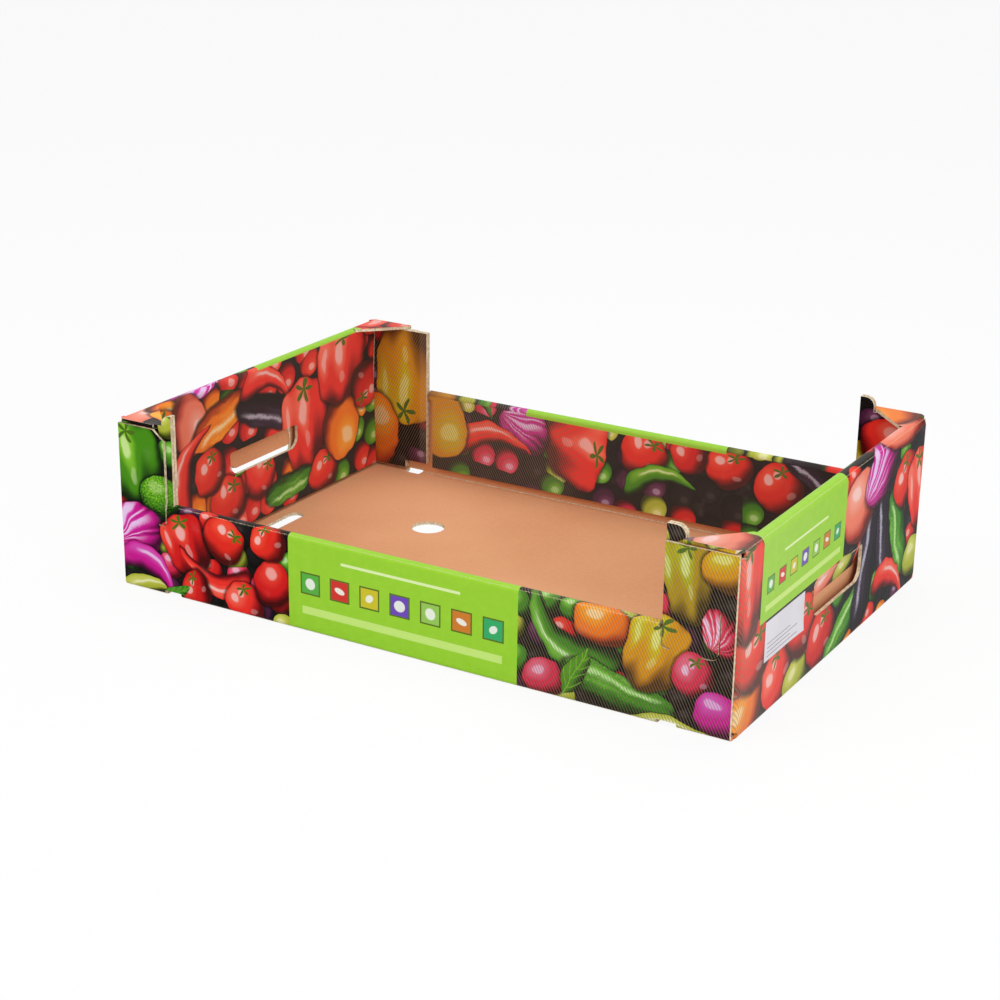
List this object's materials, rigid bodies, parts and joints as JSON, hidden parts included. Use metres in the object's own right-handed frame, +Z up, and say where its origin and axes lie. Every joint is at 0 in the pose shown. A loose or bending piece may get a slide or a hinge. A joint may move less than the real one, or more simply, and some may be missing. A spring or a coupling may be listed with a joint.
{
  "type": "open stacking cardboard tray box",
  "caption": "Open cardboard tray box folded from one board, with low rolled long walls, tall corners, triangular corner covers, stacking tabs and push-in hand hole flaps.",
  "frame": {"origin": "centre of the footprint, on the ground under the base", "axes": "+X along the long side, +Y to the back long wall, +Z up"},
  "size_m": [0.6, 0.4, 0.1665],
  "materials": {
    "printed_board": "matte"
  },
  "bodies": {
    "tray": {"tray": "printed_board"},
    "hand_flap_left": {"hand_flap_left": "printed_board"},
    "hand_flap_right": {"hand_flap_right": "printed_board"}
  },
  "joints": [
    {"name": "left_hand_flap_crease", "type": "hinge", "parent": "tray", "child": "hand_flap_left", "pos_m": [-0.297, 0, 0.082], "axis": [0, -1, 0], "range_deg": [-15, 65]},
    {"name": "right_hand_flap_crease", "type": "hinge", "parent": "tray", "child": "hand_flap_right", "pos_m": [0.297, 0, 0.082], "axis": [0, 1, 0], "range_deg": [-15, 65]}
  ]
}
